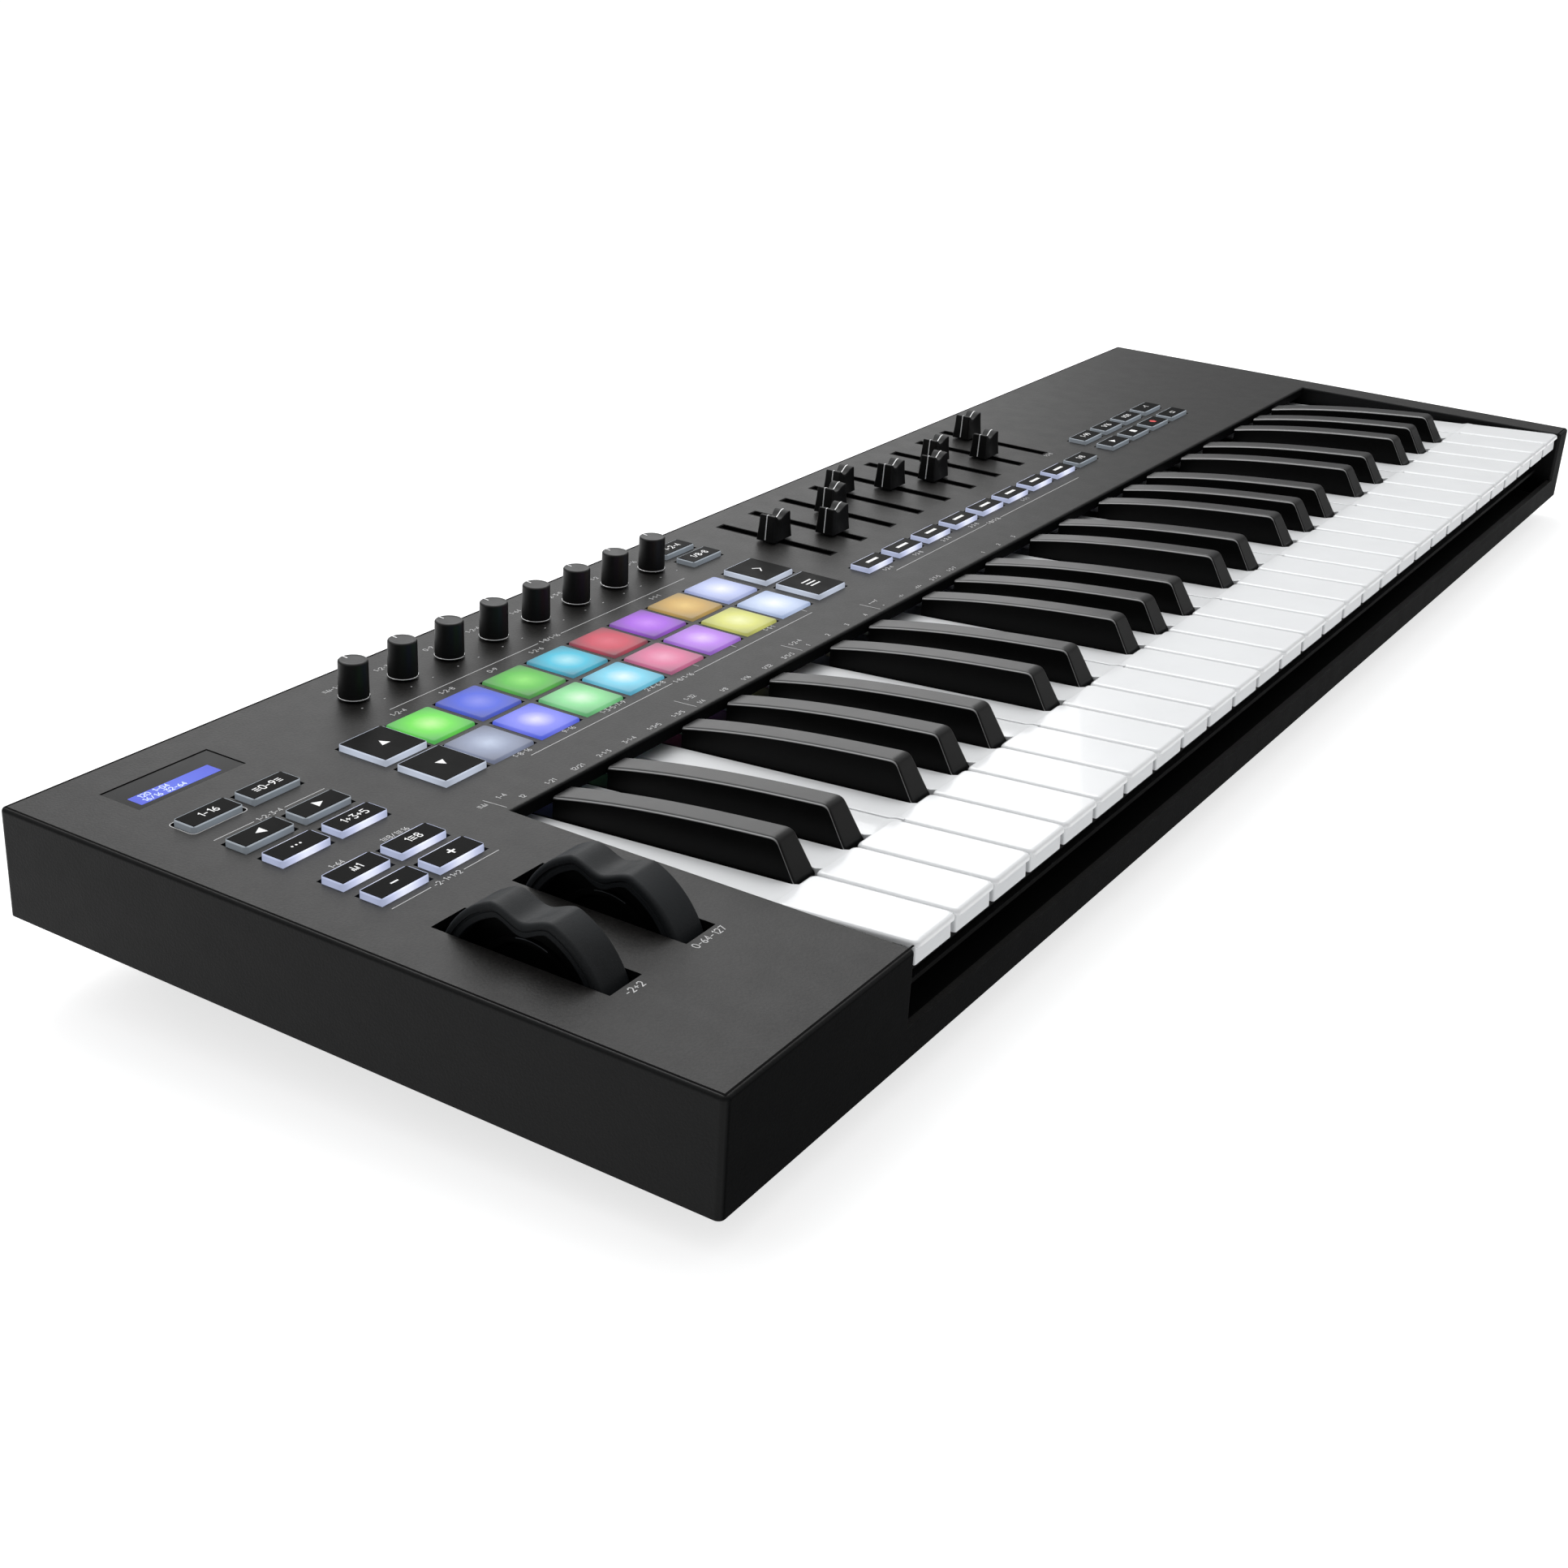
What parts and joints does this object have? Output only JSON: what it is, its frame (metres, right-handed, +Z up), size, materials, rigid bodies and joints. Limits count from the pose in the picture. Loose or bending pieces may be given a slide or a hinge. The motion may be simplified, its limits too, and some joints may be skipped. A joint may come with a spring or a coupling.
{
  "type": "synthesizer",
  "caption": "Controller keyboard synthesizer: hinged keys in a leaning slab casing with turning knobs, sliding faders, glowing press pads, lit buttons, two thumb wheels and a small display.",
  "frame": {"origin": "under the middle of the whole box, on the surface that the rubber feet stand on", "axes": "+X along the keyboard to the player's right, +Y away from the player, +Z up"},
  "size_m": [0.79, 0.2557, 0.0747],
  "materials": {
    "case": "fine textured dark grey moulding",
    "base": "black moulded base",
    "white_key": "polished white key plastic",
    "black_key": "satin black key plastic",
    "pad": "translucent silicone, lit from below",
    "button": "black cap on a clear light guide",
    "knob": "matte black knob",
    "fader_cap": "black fader cap with a white line",
    "wheel": "soft black rubber over plastic",
    "steel": "plain steel",
    "spring": "spring steel",
    "bracket": "black moulded bracket",
    "frame": "black moulded key frame",
    "felt": "red felt",
    "silicone": "grey silicone",
    "board": "green circuit board",
    "can": "pressed can",
    "socket": "black socket housing",
    "glass": "dark clear window",
    "lcd": "blue lit display",
    "foot": "black rubber foot"
  },
  "bodies": {
    "casing": {"top_case": "case", "bottom_case": "base", "rubber_feet": "foot", "case_screws": "steel", "key_frame": "frame", "key_hinge_rod": "steel", "key_springs": "spring", "key_felts": "felt", "contact_board": "board", "contact_strip": "silicone", "knob_pots": "can", "fader_units": "can", "wheel_bracket": "bracket", "pitch_spring": "spring", "control_board": "board", "main_board": "board", "rear_sockets": "socket", "display_module": "lcd", "display_window": "glass"},
    "key_c": {"key_c": "white_key"},
    "key_d": {"key_d": "white_key"},
    "key_e": {"key_e": "white_key"},
    "key_f": {"key_f": "white_key"},
    "key_g": {"key_g": "white_key"},
    "key_a": {"key_a": "white_key"},
    "key_b": {"key_b": "white_key"},
    "key_c_sharp": {"key_c_sharp": "black_key"},
    "key_d_sharp": {"key_d_sharp": "black_key"},
    "key_f_sharp": {"key_f_sharp": "black_key"},
    "key_g_sharp": {"key_g_sharp": "black_key"},
    "key_a_sharp": {"key_a_sharp": "black_key"},
    "knob_1": {"knob_1": "knob"},
    "knob_2": {"knob_2": "knob"},
    "knob_3": {"knob_3": "knob"},
    "knob_4": {"knob_4": "knob"},
    "knob_5": {"knob_5": "knob"},
    "knob_6": {"knob_6": "knob"},
    "knob_7": {"knob_7": "knob"},
    "knob_8": {"knob_8": "knob"},
    "fader_cap_1": {"fader_cap_1": "fader_cap"},
    "fader_cap_2": {"fader_cap_2": "fader_cap"},
    "fader_cap_3": {"fader_cap_3": "fader_cap"},
    "fader_cap_4": {"fader_cap_4": "fader_cap"},
    "fader_cap_5": {"fader_cap_5": "fader_cap"},
    "fader_cap_6": {"fader_cap_6": "fader_cap"},
    "fader_cap_7": {"fader_cap_7": "fader_cap"},
    "fader_cap_8": {"fader_cap_8": "fader_cap"},
    "fader_cap_9": {"fader_cap_9": "fader_cap"},
    "setup_buttons": {"setup_buttons": "button"},
    "track_buttons": {"track_buttons": "button"},
    "mode_buttons": {"mode_buttons": "button"},
    "octave_buttons": {"octave_buttons": "button"},
    "scene_buttons": {"scene_buttons": "button"},
    "device_buttons": {"device_buttons": "button"},
    "fader_buttons": {"fader_buttons": "button"},
    "transport_buttons": {"transport_buttons": "button"},
    "upper_pads": {"upper_pads": "pad"},
    "lower_pads": {"lower_pads": "pad"},
    "pitch_wheel": {"pitch_wheel": "wheel"},
    "mod_wheel": {"mod_wheel": "wheel"}
  },
  "joints": [
    {"name": "key_c_press", "type": "hinge", "parent": "casing", "child": "key_c", "pos_m": [-0.3015, 0.04086, 0.04225], "axis": [1, 0, 0], "range_deg": [0, 3.5], "stiffness_Nm_per_rad": 4, "springref_deg": -6.88},
    {"name": "key_d_press", "type": "hinge", "parent": "casing", "child": "key_d", "pos_m": [-0.3015, 0.04086, 0.04225], "axis": [1, 0, 0], "range_deg": [0, 3.5], "stiffness_Nm_per_rad": 4, "springref_deg": -6.88},
    {"name": "key_e_press", "type": "hinge", "parent": "casing", "child": "key_e", "pos_m": [-0.3015, 0.04086, 0.04225], "axis": [1, 0, 0], "range_deg": [0, 3.5], "stiffness_Nm_per_rad": 4, "springref_deg": -6.88},
    {"name": "key_f_press", "type": "hinge", "parent": "casing", "child": "key_f", "pos_m": [-0.3015, 0.04086, 0.04225], "axis": [1, 0, 0], "range_deg": [0, 3.5], "stiffness_Nm_per_rad": 4, "springref_deg": -6.88},
    {"name": "key_g_press", "type": "hinge", "parent": "casing", "child": "key_g", "pos_m": [-0.3015, 0.04086, 0.04225], "axis": [1, 0, 0], "range_deg": [0, 3.5], "stiffness_Nm_per_rad": 4, "springref_deg": -6.88},
    {"name": "key_a_press", "type": "hinge", "parent": "casing", "child": "key_a", "pos_m": [-0.3015, 0.04086, 0.04225], "axis": [1, 0, 0], "range_deg": [0, 3.5], "stiffness_Nm_per_rad": 4, "springref_deg": -6.88},
    {"name": "key_b_press", "type": "hinge", "parent": "casing", "child": "key_b", "pos_m": [-0.3015, 0.04086, 0.04225], "axis": [1, 0, 0], "range_deg": [0, 3.5], "stiffness_Nm_per_rad": 4, "springref_deg": -6.88},
    {"name": "key_c_sharp_press", "type": "hinge", "parent": "casing", "child": "key_c_sharp", "pos_m": [-0.3015, 0.04086, 0.04225], "axis": [1, 0, 0], "range_deg": [0, 3.5], "stiffness_Nm_per_rad": 4, "springref_deg": -6.88},
    {"name": "key_d_sharp_press", "type": "hinge", "parent": "casing", "child": "key_d_sharp", "pos_m": [-0.3015, 0.04086, 0.04225], "axis": [1, 0, 0], "range_deg": [0, 3.5], "stiffness_Nm_per_rad": 4, "springref_deg": -6.88},
    {"name": "key_f_sharp_press", "type": "hinge", "parent": "casing", "child": "key_f_sharp", "pos_m": [-0.3015, 0.04086, 0.04225], "axis": [1, 0, 0], "range_deg": [0, 3.5], "stiffness_Nm_per_rad": 4, "springref_deg": -6.88},
    {"name": "key_g_sharp_press", "type": "hinge", "parent": "casing", "child": "key_g_sharp", "pos_m": [-0.3015, 0.04086, 0.04225], "axis": [1, 0, 0], "range_deg": [0, 3.5], "stiffness_Nm_per_rad": 4, "springref_deg": -6.88},
    {"name": "key_a_sharp_press", "type": "hinge", "parent": "casing", "child": "key_a_sharp", "pos_m": [-0.3015, 0.04086, 0.04225], "axis": [1, 0, 0], "range_deg": [0, 3.5], "stiffness_Nm_per_rad": 4, "springref_deg": -6.88},
    {"name": "knob_1_turn", "type": "hinge", "parent": "casing", "child": "knob_1", "pos_m": [-0.2689, 0.10309, 0.06076], "axis": [0, -0.0628, 0.998], "range_deg": [-150, 150]},
    {"name": "knob_2_turn", "type": "hinge", "parent": "casing", "child": "knob_2", "pos_m": [-0.24463, 0.10309, 0.06076], "axis": [0, -0.0628, 0.998], "range_deg": [-150, 150]},
    {"name": "knob_3_turn", "type": "hinge", "parent": "casing", "child": "knob_3", "pos_m": [-0.22036, 0.10309, 0.06076], "axis": [0, -0.0628, 0.998], "range_deg": [-150, 150]},
    {"name": "knob_4_turn", "type": "hinge", "parent": "casing", "child": "knob_4", "pos_m": [-0.19609, 0.10309, 0.06076], "axis": [0, -0.0628, 0.998], "range_deg": [-150, 150]},
    {"name": "knob_5_turn", "type": "hinge", "parent": "casing", "child": "knob_5", "pos_m": [-0.17182, 0.10309, 0.06076], "axis": [0, -0.0628, 0.998], "range_deg": [-150, 150]},
    {"name": "knob_6_turn", "type": "hinge", "parent": "casing", "child": "knob_6", "pos_m": [-0.14755, 0.10309, 0.06076], "axis": [0, -0.0628, 0.998], "range_deg": [-150, 150]},
    {"name": "knob_7_turn", "type": "hinge", "parent": "casing", "child": "knob_7", "pos_m": [-0.12328, 0.10309, 0.06076], "axis": [0, -0.0628, 0.998], "range_deg": [-150, 150]},
    {"name": "knob_8_turn", "type": "hinge", "parent": "casing", "child": "knob_8", "pos_m": [-0.09901, 0.10309, 0.06076], "axis": [0, -0.0628, 0.998], "range_deg": [-150, 150]},
    {"name": "fader_cap_1_slide", "type": "slide", "parent": "casing", "child": "fader_cap_1", "axis": [0, 0.998, 0.0628], "range_m": [-0.0255, 0.0235]},
    {"name": "fader_cap_2_slide", "type": "slide", "parent": "casing", "child": "fader_cap_2", "axis": [0, 0.998, 0.0628], "range_m": [-0.0122, 0.0368]},
    {"name": "fader_cap_3_slide", "type": "slide", "parent": "casing", "child": "fader_cap_3", "axis": [0, 0.998, 0.0628], "range_m": [-0.0277, 0.0213]},
    {"name": "fader_cap_4_slide", "type": "slide", "parent": "casing", "child": "fader_cap_4", "axis": [0, 0.998, 0.0628], "range_m": [-0.0382, 0.0108]},
    {"name": "fader_cap_5_slide", "type": "slide", "parent": "casing", "child": "fader_cap_5", "axis": [0, 0.998, 0.0628], "range_m": [-0.0263, 0.0227]},
    {"name": "fader_cap_6_slide", "type": "slide", "parent": "casing", "child": "fader_cap_6", "axis": [0, 0.998, 0.0628], "range_m": [-0.0177, 0.0313]},
    {"name": "fader_cap_7_slide", "type": "slide", "parent": "casing", "child": "fader_cap_7", "axis": [0, 0.998, 0.0628], "range_m": [-0.0301, 0.0189]},
    {"name": "fader_cap_8_slide", "type": "slide", "parent": "casing", "child": "fader_cap_8", "axis": [0, 0.998, 0.0628], "range_m": [-0.0169, 0.0321]},
    {"name": "fader_cap_9_slide", "type": "slide", "parent": "casing", "child": "fader_cap_9", "axis": [0, 0.998, 0.0628], "range_m": [-0.0388, 0.0102]},
    {"name": "setup_buttons_press", "type": "slide", "parent": "casing", "child": "setup_buttons", "axis": [0, 0.0628, -0.998], "range_m": [0, 0.0012], "stiffness_N_per_m": 300, "springref_m": -0.001},
    {"name": "track_buttons_press", "type": "slide", "parent": "casing", "child": "track_buttons", "axis": [0, 0.0628, -0.998], "range_m": [0, 0.0012], "stiffness_N_per_m": 300, "springref_m": -0.001},
    {"name": "mode_buttons_press", "type": "slide", "parent": "casing", "child": "mode_buttons", "axis": [0, 0.0628, -0.998], "range_m": [0, 0.0012], "stiffness_N_per_m": 300, "springref_m": -0.001},
    {"name": "octave_buttons_press", "type": "slide", "parent": "casing", "child": "octave_buttons", "axis": [0, 0.0628, -0.998], "range_m": [0, 0.0012], "stiffness_N_per_m": 300, "springref_m": -0.001},
    {"name": "scene_buttons_press", "type": "slide", "parent": "casing", "child": "scene_buttons", "axis": [0, 0.0628, -0.998], "range_m": [0, 0.0012], "stiffness_N_per_m": 300, "springref_m": -0.001},
    {"name": "device_buttons_press", "type": "slide", "parent": "casing", "child": "device_buttons", "axis": [0, 0.0628, -0.998], "range_m": [0, 0.0012], "stiffness_N_per_m": 300, "springref_m": -0.001},
    {"name": "fader_buttons_press", "type": "slide", "parent": "casing", "child": "fader_buttons", "axis": [0, 0.0628, -0.998], "range_m": [0, 0.0012], "stiffness_N_per_m": 300, "springref_m": -0.001},
    {"name": "transport_buttons_press", "type": "slide", "parent": "casing", "child": "transport_buttons", "axis": [0, 0.0628, -0.998], "range_m": [0, 0.0012], "stiffness_N_per_m": 300, "springref_m": -0.001},
    {"name": "upper_pads_press", "type": "slide", "parent": "casing", "child": "upper_pads", "axis": [0, 0.0628, -0.998], "range_m": [0, 0.001], "stiffness_N_per_m": 600, "springref_m": -0.001},
    {"name": "lower_pads_press", "type": "slide", "parent": "casing", "child": "lower_pads", "axis": [0, 0.0628, -0.998], "range_m": [0, 0.001], "stiffness_N_per_m": 600, "springref_m": -0.001},
    {"name": "pitch_wheel_turn", "type": "hinge", "parent": "casing", "child": "pitch_wheel", "pos_m": [-0.3664, -0.04789, 0.03814], "axis": [1, 0, 0], "range_deg": [-24, 24], "stiffness_Nm_per_rad": 0.06},
    {"name": "mod_wheel_turn", "type": "hinge", "parent": "casing", "child": "mod_wheel", "pos_m": [-0.3322, -0.04789, 0.03814], "axis": [1, 0, 0], "range_deg": [-24, 24]}
  ]
}
